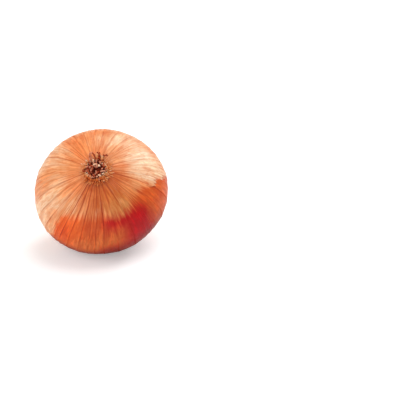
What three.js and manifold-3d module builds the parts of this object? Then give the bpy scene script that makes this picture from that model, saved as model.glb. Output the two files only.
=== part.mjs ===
// A whole yellow onion, lying on the flank of its neck with the root end turned up.
// Millimetres, +Z up. The origin is on the floor, straight below the centre of the
// widest ring and on the flat spot that the bulb rests on. The bulb's axis lies in the
// YZ plane, with the root end towards -Y.
import * as THREE from "three";
import { mergeVertices } from "three/addons/utils/BufferGeometryUtils.js";
import Module from "manifold-3d";

const wasm = await Module();
wasm.setup();

// Bulb
const BULB_DIAMETER = 76;
const ROOT_SIDE_POLE = 26.8; // widest ring to the pole of the root side's ellipse
const NECK_SIDE_HEIGHT = 36; // widest ring to the foot of the neck
const FLANK_POWER = 2; // how long the neck side stays full before it tapers
const FLANK_HOLLOW = 1.2; // how hollow the taper is where it meets the neck
// Soft swellings that keep the bulb from being perfectly round: angle round the axis and
// its spread in degrees, height on the axis and its spread, and how far the skin stands out
const SWELLINGS = [
  { angle: 212, angleSpread: 34, height: -12, heightSpread: 12, amount: 1.5 },
  { angle: 8, angleSpread: 36, height: 4, heightSpread: 14, amount: 0.7 },
  { angle: 330, angleSpread: 30, height: 14, heightSpread: 10, amount: 0.6 },
];
const AXIS_TILT = 37.9; // bulb axis from the vertical, in degrees
const FLAT_DEPTH = 0.9; // how far the flank is pressed flat where it rests

// Veins of the dry skin, raised as low ribs from the root plate to the neck
const VEIN_COUNT = 44;
const VEIN_HEIGHT = 0.3;
const VEIN_WANDER = 0.45; // how far a vein strays from even spacing, in spacings
// Slow waves of that straying: how many go round the bulb, and where each starts, in radians
const WANDER_WAVES = [
  { count: 5, start: 0 },
  { count: 8, start: 2 },
];

// Root end
const ROOT_RIM_DIAMETER = 15.6;
const ROOT_RECESS_DIAMETER = 13.4;
const ROOT_RECESS_DEPTH = 2.4;
const FRAY_LEAST = 0.3; // torn skin round the root plate
const FRAY_MOST = 1.7;
const FRAY_SPLAY = 0.7; // outward lean of the torn skin, per unit of its height
const RIM_EDGE = 0.4; // how far in from the rim the torn skin stands
const RIM_DROP = 0.5; // how far the rim falls to the edge of the recess
const ROOT_PLATE_DIAMETER = 12.6;
const ROOT_PLATE_THICKNESS = 2.4;
const ROOT_PLATE_SIDES = 32;
// Top of the root plate from its edge to its middle: share of the radius, and drop from the top
const ROOT_PLATE_TOP = [
  { share: 1, drop: 0.9 },
  { share: 0.93, drop: 0.3 },
  { share: 0.7, drop: 0 },
  { share: 0.3, drop: 0.5 },
  { share: 0, drop: 0.7 },
];
const ROOT_THICKNESS = 0.9;
const ROOT_SIDES = 5;
const ROOT_STEPS = 4;
const ROOT_SUNK = 1.2; // how deep a root starts in the plate
const ROOT_STRAY = 0.3; // how far a root stands off its even place, in places
const ROOT_LEAN_LESS = 0.15; // how far the leans of a ring differ
const ROOT_LEAN_MORE = 0.1;
const ROOT_CURL = 0.5; // most sideways curl, per unit of length
const ROOT_RISE = 0.8; // how steeply a root sets off
const ROOT_DROOP = 0.25; // how much of that rise its tip loses
const ROOT_KNOTS = [0, 0.4, 0.7, 1]; // shares of a root's length where its curve is set
// Rings of roots: the arc they stand on, in degrees, and how far they lean out per length
const ROOT_RINGS = [
  { diameter: 5.0, from: 0, to: 360, count: 10, lean: 0, shortest: 1.4, longest: 2.6 },
  { diameter: 8.2, from: 0, to: 360, count: 18, lean: 0.2, shortest: 2.0, longest: 3.6 },
  { diameter: 11.0, from: 0, to: 360, count: 26, lean: 0.4, shortest: 2.0, longest: 4.2 },
  { diameter: 10.4, from: 62, to: 112, count: 5, lean: 0.9, shortest: 4.8, longest: 6.2 },
];

// Neck
const NECK_DIAMETER = 12;
const NECK_MOUTH_DIAMETER = 10;
const NECK_LENGTH = 4;
const NECK_WALL = 0.9;
const NECK_CUP_DEPTH = 4;
const NECK_BEND = 6.5; // sideways bend of the neck's mouth, away from the floor
const NECK_BEND_START = 26; // widest ring to where the bend begins
const NECK_TEAR_LEAST = 0.2;
const NECK_TEAR_MOST = 1.6;
const NECK_TEAR_LOBES = 5;
const NECK_TEAR_EVEN = 0.6; // shortest tear of a lobe, as a share of the longest
const NECK_LIP = 0.5; // height of the lip at the mouth
const LEAF_COUNT = 7;
const LEAF_THICKNESS = 0.7;
const LEAF_WIDTH = 3.4;
const LEAF_SHORTEST = 4.2;
const LEAF_LONGEST = 6.4;
// Outline of a leaf end from its foot up, as shares of its half width and of its length. The
// two points at the tip are torn, so their place across lies between two shares.
const LEAF_RIGHT = { across: 0.9, along: 0.6 };
const LEAF_TIP = { from: 0.1, to: 0.5, along: 1 };
const LEAF_NOTCH = { from: -0.4, to: -0.1, along: 0.85 };
const LEAF_LEFT = { across: -0.8, along: 0.55 };
const LEAF_LEAN_LEAST = 0.05; // outward lean of a leaf end, in radians
const LEAF_LEAN_MOST = 0.2;
const LEAF_STRAY = 0.2; // how far a leaf end stands off its even place, in places
const LEAF_RING_DIAMETER = 4.2;
const LEAF_CORE_DIAMETER = 5.2;
const LEAF_CORE_LENGTH = 3;
const LEAF_CORE_SIDES = 12;

const PIECE_GAP = 0.3; // between pieces that sit in one another
const COLUMNS = 2 * VEIN_COUNT; // one column of points on each vein and one between
const ROOT_SIDE_ROWS = 15;
const NECK_SIDE_ROWS = 17;
const SEED = 20;

const bulbRadius = BULB_DIAMETER / 2;
const neckRadius = NECK_DIAMETER / 2;
const mouthRadius = NECK_MOUTH_DIAMETER / 2;
const rimRadius = ROOT_RIM_DIAMETER / 2;
const tilt = THREE.MathUtils.degToRad(AXIS_TILT);
const rimAngle = Math.acos(rimRadius / bulbRadius);
const rimHeight = ROOT_SIDE_POLE * Math.sin(rimAngle);
const recessFloor = rimHeight - ROOT_RECESS_DEPTH;
const mouthHeight = -NECK_SIDE_HEIGHT - NECK_LENGTH;
const cupFloor = mouthHeight + NECK_CUP_DEPTH;

// Seeded random numbers between two limits
let seed = SEED;
function random(low, high) {
  return low + (high - low) * THREE.MathUtils.seededRandom(seed++);
}

// A closed geometry as a solid that can be joined and cut
function solidOf(geometry) {
  const bare = geometry.index ? geometry.toNonIndexed() : geometry.clone();
  bare.deleteAttribute("normal");
  bare.deleteAttribute("uv");
  const merged = mergeVertices(bare);
  return new wasm.Manifold(
    new wasm.Mesh({
      numProp: 3,
      vertProperties: merged.attributes.position.array,
      triVerts: new Uint32Array(merged.index.array),
    }),
  );
}

// A solid back as a geometry, with flat shading
function geometryOf(solid) {
  const mesh = solid.getMesh();
  const geometry = new THREE.BufferGeometry();
  geometry.setAttribute("position", new THREE.BufferAttribute(mesh.vertProperties, 3));
  geometry.setIndex(new THREE.BufferAttribute(mesh.triVerts, 1));
  const faceted = geometry.toNonIndexed();
  faceted.computeVertexNormals();
  return faceted;
}

// A profile of (radius, height) points turned about Z
function turned(profile, columns) {
  return new THREE.LatheGeometry(profile, columns).rotateX(Math.PI / 2);
}

// Half outline of the root side, from the widest ring up to the rim round the root plate
function rootSideProfile() {
  const points = [];
  for (let row = 1; row <= ROOT_SIDE_ROWS; row++) {
    const angle = (rimAngle * row) / ROOT_SIDE_ROWS;
    points.push([bulbRadius * Math.cos(angle), ROOT_SIDE_POLE * Math.sin(angle)]);
  }
  return points;
}

// Half outline of the neck side, from the foot of the neck up to the widest ring
function neckSideProfile() {
  const points = [];
  for (let row = NECK_SIDE_ROWS; row >= 0; row--) {
    const share = row / NECK_SIDE_ROWS;
    const fullness = Math.pow(1 - Math.pow(share, FLANK_POWER), FLANK_HOLLOW);
    points.push([
      neckRadius + (bulbRadius - neckRadius) * fullness,
      -NECK_SIDE_HEIGHT * share,
    ]);
  }
  return points;
}

// Distance of the floor from the centre of the widest ring
function restHeight() {
  const reach = neckSideProfile().map(
    ([radius, height]) => radius * Math.sin(tilt) - height * Math.cos(tilt),
  );
  return Math.max(...reach) - FLAT_DEPTH;
}

// A column's angle: even spacing with a slow wander, so that no two gaps are quite alike
function columnAngle(column) {
  const even = (2 * Math.PI * column) / COLUMNS;
  const spacing = (2 * Math.PI) / VEIN_COUNT;
  const waves = WANDER_WAVES.map(({ count, start }) => Math.sin(count * even + start));
  return even + VEIN_WANDER * spacing * waves.reduce((sum, wave) => sum + wave, 0);
}

// How far the swellings push the skin out at an angle and a height
function swelling(angle, height) {
  const degrees = THREE.MathUtils.radToDeg(angle);
  return SWELLINGS.reduce((sum, lump) => {
    const turn = THREE.MathUtils.euclideanModulo(degrees - lump.angle + 180, 360) - 180;
    const along = (height - lump.height) / lump.heightSpread;
    const round = turn / lump.angleSpread;
    return sum + lump.amount * Math.exp(-along * along - round * round);
  }, 0);
}

// How far the neck bends aside at a height: more and more up to its mouth, then straight on
function neckBend(height) {
  const start = -NECK_BEND_START;
  const share = Math.max(0, (start - height) / (start - mouthHeight));
  return NECK_BEND * (share < 1 ? share * share : 2 * share - 1);
}

// The whole outside of the bulb: ribbed skin, frayed rim round the root recess, bent neck
// with a torn mouth. Each row of the profile says how high it stands in each column.
function bulbSolid() {
  const fray = [];
  const tear = [];
  for (let column = 0; column < COLUMNS; column++) {
    const lobe = (1 + Math.sin((2 * Math.PI * NECK_TEAR_LOBES * column) / COLUMNS)) / 2;
    const ragged = random(NECK_TEAR_EVEN, 1);
    fray.push(random(FRAY_LEAST, FRAY_MOST));
    tear.push(NECK_TEAR_LEAST + (NECK_TEAR_MOST - NECK_TEAR_LEAST) * lobe * ragged);
  }
  const outside = [...neckSideProfile(), ...rootSideProfile()];
  const skin = outside.map(([radius, height]) => ({ radius, height, ribbed: true }));
  const rows = [
    { radius: 0, height: cupFloor },
    { radius: mouthRadius - 2 * NECK_WALL, height: cupFloor },
    { radius: mouthRadius - NECK_WALL, height: mouthHeight + NECK_LIP },
    { radius: mouthRadius - NECK_WALL / 2, height: mouthHeight, lowered: tear },
    { radius: mouthRadius, height: mouthHeight + NECK_LIP, ribbed: true },
    ...skin,
    { radius: rimRadius - RIM_EDGE, height: rimHeight, raised: fray },
    { radius: ROOT_RECESS_DIAMETER / 2, height: rimHeight - RIM_DROP },
    { radius: ROOT_RECESS_DIAMETER / 2, height: recessFloor },
    { radius: 0, height: recessFloor },
  ];
  const profile = rows.map((row) => new THREE.Vector2(row.radius, row.height));
  const geometry = turned(profile, COLUMNS);
  const position = geometry.attributes.position;
  for (let i = 0; i < position.count; i++) {
    const row = rows[i % rows.length];
    const column = Math.floor(i / rows.length) % COLUMNS;
    const angle = columnAngle(column);
    const rise = row.raised ? row.raised[column] : 0;
    const drop = row.lowered ? row.lowered[column] : 0;
    let radius = row.radius + rise * FRAY_SPLAY;
    if (row.ribbed) {
      radius += (VEIN_HEIGHT / 2) * (column % 2 === 0 ? 1 : -1) + swelling(angle, row.height);
    }
    const height = row.height + rise - drop;
    position.setXYZ(
      i,
      radius * Math.cos(angle),
      radius * Math.sin(angle) + neckBend(row.height),
      height,
    );
  }
  return solidOf(geometry);
}

// Everything below the floor, turned into the bulb's own frame
function belowFloor() {
  const size = 2 * BULB_DIAMETER;
  const block = new THREE.BoxGeometry(size, size, size);
  block.translate(0, 0, -size / 2 - restHeight());
  block.rotateX(-tilt);
  return solidOf(block);
}

function bulb() {
  return geometryOf(bulbSolid().subtract(belowFloor()));
}

// A tube with few sides along a curve
function strand(curve, thickness) {
  const section = new THREE.Shape();
  for (let side = 0; side < ROOT_SIDES; side++) {
    const angle = (2 * Math.PI * side) / ROOT_SIDES;
    const x = (thickness / 2) * Math.cos(angle);
    const y = (thickness / 2) * Math.sin(angle);
    if (side === 0) section.moveTo(x, y);
    else section.lineTo(x, y);
  }
  return new THREE.ExtrudeGeometry(section, {
    steps: ROOT_STEPS,
    bevelEnabled: false,
    extrudePath: curve,
  });
}

// One dry root: up out of the plate, leaning out and curling to one side
function rootCurve(ring, index, top) {
  const share = (index + random(-ROOT_STRAY, ROOT_STRAY)) / ring.count;
  const angle = THREE.MathUtils.degToRad(ring.from + (ring.to - ring.from) * share);
  const length = random(ring.shortest, ring.longest);
  const lean = ring.lean + random(-ROOT_LEAN_LESS, ROOT_LEAN_MORE);
  const curl = random(-ROOT_CURL, ROOT_CURL);
  const out = new THREE.Vector3(Math.cos(angle), Math.sin(angle), 0);
  const aside = new THREE.Vector3(-Math.sin(angle), Math.cos(angle), 0);
  const foot = out.clone().multiplyScalar(ring.diameter / 2).setZ(top - ROOT_SUNK);
  const along = (part) =>
    foot
      .clone()
      .addScaledVector(out, lean * length * part ** 3)
      .addScaledVector(aside, curl * length * part ** 3)
      .setZ(foot.z + (ROOT_SUNK + length * ROOT_RISE) * part * (1 - ROOT_DROOP * part));
  return new THREE.CatmullRomCurve3(ROOT_KNOTS.map(along));
}

// The flat root plate with the dry, trimmed roots that grow from it in rings
function rootTuft() {
  const bottom = recessFloor + PIECE_GAP;
  const top = bottom + ROOT_PLATE_THICKNESS;
  const radius = ROOT_PLATE_DIAMETER / 2;
  const profile = [
    new THREE.Vector2(0, bottom),
    new THREE.Vector2(radius, bottom),
    ...ROOT_PLATE_TOP.map(({ share, drop }) => new THREE.Vector2(radius * share, top - drop)),
  ];
  let solid = solidOf(turned(profile, ROOT_PLATE_SIDES));
  for (const ring of ROOT_RINGS) {
    for (let index = 0; index < ring.count; index++) {
      solid = solid.add(solidOf(strand(rootCurve(ring, index, top), ROOT_THICKNESS)));
    }
  }
  return geometryOf(solid);
}

// One dry leaf end: a pointed, slightly curled blade that stands in the neck's mouth
function leafBlade(index) {
  const length = random(LEAF_SHORTEST, LEAF_LONGEST);
  const half = LEAF_WIDTH / 2;
  const outline = new THREE.Shape();
  outline.moveTo(-half, 0);
  outline.lineTo(half, 0);
  outline.lineTo(half * LEAF_RIGHT.across, length * LEAF_RIGHT.along);
  outline.lineTo(half * random(LEAF_TIP.from, LEAF_TIP.to), length * LEAF_TIP.along);
  outline.lineTo(half * random(LEAF_NOTCH.from, LEAF_NOTCH.to), length * LEAF_NOTCH.along);
  outline.lineTo(half * LEAF_LEFT.across, length * LEAF_LEFT.along);
  const blade = new THREE.ExtrudeGeometry(outline, { depth: LEAF_THICKNESS, bevelEnabled: false });
  blade.translate(0, 0, -LEAF_THICKNESS / 2);
  blade.rotateX(-Math.PI / 2 - random(LEAF_LEAN_LEAST, LEAF_LEAN_MOST));
  blade.translate(0, -LEAF_RING_DIAMETER / 2, 0);
  blade.rotateZ((2 * Math.PI * (index + random(-LEAF_STRAY, LEAF_STRAY))) / LEAF_COUNT);
  return blade;
}

// The dry ends of the inner leaves, joined on a short core
function neckLeaves() {
  const foot = cupFloor - PIECE_GAP;
  const core = new THREE.CylinderGeometry(
    LEAF_CORE_DIAMETER / 2,
    LEAF_CORE_DIAMETER / 2,
    LEAF_CORE_LENGTH,
    LEAF_CORE_SIDES,
  ).rotateX(Math.PI / 2);
  core.translate(0, 0, -LEAF_CORE_LENGTH / 2);
  let solid = solidOf(core);
  for (let index = 0; index < LEAF_COUNT; index++) {
    solid = solid.add(solidOf(leafBlade(index).translate(0, 0, -LEAF_THICKNESS)));
  }
  const geometry = geometryOf(solid).translate(0, 0, foot);
  const position = geometry.attributes.position;
  for (let i = 0; i < position.count; i++) {
    position.setY(i, position.getY(i) + neckBend(position.getZ(i)));
  }
  geometry.computeVertexNormals();
  return geometry;
}

const skinMaterial = new THREE.MeshStandardMaterial({
  color: 0xe39a5c,
  roughness: 0.42,
  metalness: 0,
});
const rootMaterial = new THREE.MeshStandardMaterial({
  color: 0x6b3f2a,
  roughness: 0.9,
  metalness: 0,
});
const dryLeafMaterial = new THREE.MeshStandardMaterial({
  color: 0xb98a55,
  roughness: 0.8,
  metalness: 0,
});

function piece(name, geometry, material) {
  const mesh = new THREE.Mesh(geometry, material);
  mesh.name = name;
  return mesh;
}

const growing = new THREE.Group();
growing.add(piece("bulb", bulb(), skinMaterial));
growing.add(piece("root_tuft", rootTuft(), rootMaterial));
growing.add(piece("neck_leaves", neckLeaves(), dryLeafMaterial));
growing.rotation.x = tilt;
growing.position.z = restHeight();

const onion = new THREE.Group();
onion.add(growing);

export default onion;
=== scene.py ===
# %% [markdown]
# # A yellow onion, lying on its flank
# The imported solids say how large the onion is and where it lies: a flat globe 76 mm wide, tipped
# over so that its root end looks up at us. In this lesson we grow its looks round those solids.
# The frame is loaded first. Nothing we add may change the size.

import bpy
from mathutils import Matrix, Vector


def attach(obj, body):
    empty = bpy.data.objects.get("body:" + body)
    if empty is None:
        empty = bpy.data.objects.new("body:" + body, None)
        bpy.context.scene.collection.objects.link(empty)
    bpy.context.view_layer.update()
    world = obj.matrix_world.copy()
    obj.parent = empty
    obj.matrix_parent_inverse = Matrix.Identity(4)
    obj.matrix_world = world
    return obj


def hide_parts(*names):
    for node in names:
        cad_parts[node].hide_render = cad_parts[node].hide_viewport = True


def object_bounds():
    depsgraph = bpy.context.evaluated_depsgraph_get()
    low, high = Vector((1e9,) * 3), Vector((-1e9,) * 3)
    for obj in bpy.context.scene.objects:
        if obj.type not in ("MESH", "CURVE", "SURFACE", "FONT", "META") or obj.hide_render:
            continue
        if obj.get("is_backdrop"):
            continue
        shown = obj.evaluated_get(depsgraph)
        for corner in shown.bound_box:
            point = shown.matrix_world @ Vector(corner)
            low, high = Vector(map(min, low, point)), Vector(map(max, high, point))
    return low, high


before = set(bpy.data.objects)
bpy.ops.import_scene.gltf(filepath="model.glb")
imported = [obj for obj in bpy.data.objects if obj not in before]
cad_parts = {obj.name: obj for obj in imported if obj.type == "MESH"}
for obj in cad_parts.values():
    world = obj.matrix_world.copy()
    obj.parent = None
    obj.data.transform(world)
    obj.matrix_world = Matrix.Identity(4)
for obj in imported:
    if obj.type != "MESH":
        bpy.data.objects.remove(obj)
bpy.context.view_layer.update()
print("solids:", sorted(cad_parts))

# %% [markdown]
# ## The camera
# The onion is seen from a little above, with a long lens, so it looks almost without perspective.
# It sits left of the middle of the picture. Rather than shifting the lens we let the camera look
# past the onion: we know the pixel where the middle of the bulb is seen, so we can step the camera
# back from the bulb and then aside by just that many pixels.

# %% The camera
import math

import bpy
from mathutils import Matrix, Vector

MM = 0.001
RING_HEIGHT = 31.43  # the centre of the widest ring above the floor, in millimetres
IMAGE_PIXELS = 400
BULB_PIXEL = (101, 191)  # across and down
VIEW_TURN = math.radians(2)
VIEW_RISE = math.radians(27)
VIEW_DISTANCE = 0.641
LENS = 100
SENSOR = 36
NEAREST_SEEN = 0.01

view_right = Vector((math.cos(VIEW_TURN), math.sin(VIEW_TURN), 0))
view_back = Vector((
    math.sin(VIEW_TURN) * math.cos(VIEW_RISE),
    -math.cos(VIEW_TURN) * math.cos(VIEW_RISE),
    math.sin(VIEW_RISE),
))
view_up = view_back.cross(view_right)
metres_per_pixel = VIEW_DISTANCE * SENSOR / LENS / IMAGE_PIXELS
aside = (BULB_PIXEL[0] - IMAGE_PIXELS / 2) * metres_per_pixel
above = (IMAGE_PIXELS / 2 - BULB_PIXEL[1]) * metres_per_pixel

camera = bpy.data.objects.new("camera", bpy.data.cameras.new("camera"))
camera.data.lens = LENS
camera.data.sensor_width = SENSOR
camera.data.clip_start = NEAREST_SEEN
camera.location = (
    Vector((0, 0, RING_HEIGHT * MM)) + view_back * VIEW_DISTANCE - view_right * aside - view_up * above
)
camera.rotation_euler = Matrix((view_right, view_up, view_back)).transposed().to_euler()
bpy.context.scene.collection.objects.link(camera)
bpy.context.scene.camera = camera
print("camera at", [round(value, 3) for value in camera.location])

# %% [markdown]
# ## Floor and light
# A white table under a large soft light from above and behind, a touch from the right, with a weaker
# fill from the left front and a narrow window behind that puts the sheen on the skin. Wide suns are used
# in place of lamps: they light the whole table evenly, so it stays white up to the horizon from every
# side. The sky is darker as a light than it looks, which keeps the soft shading on the bulb, and the
# table glows a little for the camera alone, which keeps the shadow pale. The Standard view keeps strong
# oranges and reds; a filmic one would wash them out.

# %% Soft light
SKY_WHITE = (1, 1, 1, 1)
SKY_LIGHT = 0.42
SKY_LOOK = 1.0
SUNS = {  # where the light comes from, how wide it is in degrees, strength
    "overhead_light": ((0.40, 0.45, 1.0), 55, 2.0),
    "window_light": ((0.56, 0.70, 0.45), 16, 0.55),
    "left_fill": ((-0.9, -0.7, 0.6), 70, 1.5),
}

for sun_name, (sun_from, sun_width, sun_strength) in SUNS.items():
    sun = bpy.data.objects.new(sun_name, bpy.data.lights.new(sun_name, "SUN"))
    sun.data.angle = math.radians(sun_width)
    sun.data.energy = sun_strength
    sun.location = sun_from
    sun.rotation_euler = Vector(sun_from).to_track_quat("Z", "Y").to_euler()
    bpy.context.scene.collection.objects.link(sun)

sky = bpy.data.worlds.new("pale_sky")
sky.use_nodes = True
sky_nodes = sky.node_tree.nodes
sky_nodes["Background"].inputs["Color"].default_value = SKY_WHITE
sky_seen = sky_nodes.new("ShaderNodeMapRange")
sky_seen.inputs["To Min"].default_value = SKY_LIGHT
sky_seen.inputs["To Max"].default_value = SKY_LOOK
ray = sky_nodes.new("ShaderNodeLightPath")
sky.node_tree.links.new(ray.outputs["Is Camera Ray"], sky_seen.inputs["Value"])
sky.node_tree.links.new(sky_seen.outputs["Result"], sky_nodes["Background"].inputs["Strength"])
bpy.context.scene.world = sky
bpy.context.scene.view_settings.view_transform = "Standard"
print("lights:", ", ".join(SUNS))

# %% White table
TABLE_SIZE = 60.0
TABLE_WHITE = (0.86, 0.86, 0.86, 1)
TABLE_ROUGHNESS = 0.9
TABLE_SPECULAR = 0.1
TABLE_GLOW = 0.3


def new_material(name):
    """A material, its nodes, and the sockets of its Principled shader."""
    material = bpy.data.materials.new(name)
    material.use_nodes = True
    tree = material.node_tree
    return material, tree, tree.nodes["Principled BSDF"].inputs


half = TABLE_SIZE / 2
table_mesh = bpy.data.meshes.new("table_top")
table_mesh.from_pydata(
    [(-half, -half, 0), (half, -half, 0), (half, half, 0), (-half, half, 0)], [], [(0, 1, 2, 3)]
)
table = bpy.data.objects.new("table_top", table_mesh)
bpy.context.scene.collection.objects.link(table)
table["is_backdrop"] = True
table_paint, table_tree, table_shader = new_material("white_table")
table_shader["Base Color"].default_value = TABLE_WHITE
table_shader["Roughness"].default_value = TABLE_ROUGHNESS
table_shader["Specular IOR Level"].default_value = TABLE_SPECULAR
table_shader["Emission Strength"].default_value = TABLE_GLOW
ray = table_tree.nodes.new("ShaderNodeLightPath")
table_tree.links.new(ray.outputs["Is Camera Ray"], table_shader["Emission Color"])
table_mesh.materials.append(table_paint)
print("table:", TABLE_SIZE, "m wide")

# %% [markdown]
# ## The shape of the bulb
# An onion is a turned shape with small faults, so we describe it by two numbers. `run` follows a vein:
# 0 at the middle of the root plate, 1 on the widest ring, 2 at the foot of the neck and a little more
# at its mouth. `around` counts the veins. Everything is in millimetres in the bulb's own frame, where
# +Z points to the root end, and one function at the end tips the frame over and makes metres of it.

# %% The outline along a vein
import numpy as np

BULB_RADIUS = 38.0
ROOT_POLE = 26.8
NECK_FOOT = 36.0
NECK_RADIUS = 6.0
NECK_MOUTH_RADIUS = 5.0
NECK_LENGTH = 4.0
FLANK_HOLLOW = 1.2
RUN_OF_MOUTH = 2.2  # run 2 is the foot of the neck
RIM_RADIUS = 7.8  # where the skin ends round the root plate
RIM_RUN = 1 - math.acos(RIM_RADIUS / BULB_RADIUS) / (math.pi / 2)


def outline(run):
    """Radius and height of the bulb at each run."""
    run = np.asarray(run, float)
    angle = (1 - np.clip(run, 0, 1)) * math.pi / 2
    flank = np.clip(run - 1, 0, 1)
    neck = np.clip(run - 2, 0, None) / (RUN_OF_MOUTH - 2)
    fullness = (1 - flank**2) ** FLANK_HOLLOW
    radius = np.where(
        run < 1,
        BULB_RADIUS * np.cos(angle),
        NECK_RADIUS + (BULB_RADIUS - NECK_RADIUS) * fullness - (NECK_RADIUS - NECK_MOUTH_RADIUS) * neck,
    )
    height = np.where(run < 1, ROOT_POLE * np.sin(angle), -NECK_FOOT * flank - NECK_LENGTH * neck)
    return radius, height


print("skin ends round the root at run", round(RIM_RUN, 3))

# %% The angle of a vein
VEINS = 44
VEIN_SPACING = 2 * math.pi / VEINS
VEIN_WANDER = 0.45  # in spacings
WANDER_WAVES = (5, 8)  # two slow waves round the bulb
WANDER_SHIFT = 2  # from one wave to the other, in radians
LEAN_MIDDLE = 250  # on the underside, in degrees
LEAN_SPREAD = 55
LEAN_MOST = math.radians(-9)
LEAN_GROWTH = 1.5  # the power with which the lean grows along a vein


def vein_angle(vein):
    """The angle of a vein number, which need not be whole: even spacing with a slow wander."""
    even = np.asarray(vein, float) * VEIN_SPACING
    waves = np.sin(WANDER_WAVES[0] * even) + np.sin(WANDER_WAVES[1] * even + WANDER_SHIFT)
    return even + VEIN_WANDER * VEIN_SPACING * waves


def degrees_from(middle, angle):
    """How far an angle lies to one side or the other of a middle given in degrees."""
    return (np.degrees(angle) - middle + 180) % 360 - 180


def leaning(angle, run):
    """On the underside the veins lean a little aside on their way to the widest ring."""
    nearness = np.exp(-((degrees_from(LEAN_MIDDLE, angle) / LEAN_SPREAD) ** 2))
    return angle + LEAN_MOST * np.clip(run, 0, 1) ** LEAN_GROWTH * nearness


print("vein spacing on the widest ring:", round(BULB_RADIUS * VEIN_SPACING, 2), "mm")

# %% Swellings and the bend of the neck
SWELLINGS = (  # angle, its spread, height, its spread, how far the skin stands out
    (212, 34, -12, 12, 1.5),
    (8, 36, 4, 14, 0.7),
    (330, 30, 14, 10, 0.6),
)
BEND_START = -26.0
NECK_MOUTH = -NECK_FOOT - NECK_LENGTH
NECK_BEND = 6.5


def swelling(angle, height):
    """How far the soft swellings push the skin out."""
    total = 0
    for centre, turn_spread, level, level_spread, amount in SWELLINGS:
        turn = degrees_from(centre, angle)
        total = total + amount * np.exp(-((height - level) / level_spread) ** 2 - (turn / turn_spread) ** 2)
    return total


def neck_bend(height):
    """How far the neck bends aside at a height: more and more up to its mouth, then straight on."""
    share = np.clip((BEND_START - height) / (BEND_START - NECK_MOUTH), 0, None)
    return NECK_BEND * np.where(share < 1, share**2, 2 * share - 1)


print("the neck bends aside by", NECK_BEND, "mm")

# %% From the bulb's frame to the scene
AXIS_TILT = math.radians(37.9)
TIPPING = np.array(Matrix.Rotation(AXIS_TILT, 3, "X"))


def in_scene(points):
    """Points of the bulb's own frame in millimetres as points of the scene in metres."""
    return (np.asarray(points, float) @ TIPPING.T + (0, 0, RING_HEIGHT)) * MM


def make_piece(name, points, faces, replaced=()):
    """A smooth mesh of points in the bulb's frame that rides on the onion."""
    mesh = bpy.data.meshes.new(name)
    mesh.from_pydata(in_scene(points).tolist(), [], faces)
    mesh.shade_smooth()
    piece = bpy.data.objects.new(name, mesh)
    bpy.context.scene.collection.objects.link(piece)
    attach(piece, "root")
    if replaced:
        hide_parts(*replaced)
    return piece


print("the bulb's axis is tipped by", round(math.degrees(AXIS_TILT), 1), "degrees")

# %% Faces, and numbers stored on them
RUN_LAYER = "skin_run"


def write_run(piece, around_and_run):
    """Stores two numbers for every corner of every face, for the materials to read."""
    layer = piece.data.uv_layers.new(name=RUN_LAYER)
    layer.data.foreach_set("uv", np.asarray(around_and_run, np.float32).ravel())


def grid_faces(rows, columns, closed=False):
    """The faces between rows of points. A closed grid joins its last column to its first."""
    faces = []
    for row in range(rows - 1):
        for column in range(columns if closed else columns - 1):
            after = (column + 1) % columns
            faces.append((
                row * columns + column,
                row * columns + after,
                (row + 1) * columns + after,
                (row + 1) * columns + column,
            ))
    return faces


def tube_faces(rows, columns):
    """A closed grid with a lid on its first row and on its last."""
    last_row = (rows - 1) * columns
    lids = [tuple(range(columns - 1, -1, -1)), tuple(range(last_row, last_row + columns))]
    return grid_faces(rows, columns, closed=True) + lids


def shifted(faces, first):
    """The same faces for points that come later in a mesh."""
    return [tuple(first + corner for corner in face) for face in faces]


print("around and run are stored as", RUN_LAYER)

# %% [markdown]
# ## The dry skin
# The outermost leaf of an onion dries to a thin skin that clings to the bulb. Its veins stand out as
# low ribs, no two alike, and it is never quite even. Bump alone would leave the outline as smooth as a
# ball's, so the ribs, the unevenness and the pleats at the neck are real points here: eight columns
# to a vein, pushed in and out by a few tenths of a millimetre. Where the bulb lies on the table,
# everything below it is pressed flat.

# %% Veins that stand out
import random

COLUMNS_PER_VEIN = 8
VEIN_HEIGHT = 0.24
VEIN_BREADTH = 0.15  # of the spacing
VEIN_SINK = 0.3  # how far the skin between veins lies below the mean, in vein heights
VEIN_STRENGTHS = (0.35, 1.15)  # from the faintest vein to the strongest, in vein heights
VEIN_FADE_IN = 0.25  # run over which the veins rise from the rim
VEIN_AT_RIM = 0.25  # what they have of their height there

vein_luck = random.Random(7)
vein_strength = np.array([vein_luck.uniform(*VEIN_STRENGTHS) for _ in range(VEINS)])


def vein_relief(vein, run):
    """How far the veins push the skin out or leave it sunken."""
    nearest = np.round(vein)
    beside = np.abs(vein - nearest)
    strength = vein_strength[nearest.astype(int) % VEINS]
    crest = strength * np.exp(-((beside / VEIN_BREADTH) ** 2)) - VEIN_SINK
    fading_in = np.clip((run - RIM_RUN) / VEIN_FADE_IN, VEIN_AT_RIM, 1)
    return VEIN_HEIGHT * crest * fading_in


print("strongest vein:", round(VEIN_HEIGHT * vein_strength.max(), 2), "mm")

# %% Lumps, and pleats at the neck
from mathutils import noise

UNEVEN_SIZE = 15.0
UNEVEN_HEIGHT = 0.28
CRUMPLE_SIZE = 4.5
CRUMPLE_HEIGHT = 0.06
PLEATS = 13
PLEAT_DEPTH = 0.5
PLEAT_START = 1.55  # run
PLEAT_GROWTH = 1.5  # the power with which they deepen
PLEAT_TWIST = 0.9  # radians from the start of the pleats to the mouth
PLEAT_CROWDING = 1.7  # radians by which they crowd together
CROWDS = 2


def cloud(points, size):
    """Smooth noise at points, between about -1 and 1, with lumps of a size."""
    return np.array([noise.noise(Vector(point)) for point in np.asarray(points) / size])


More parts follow.
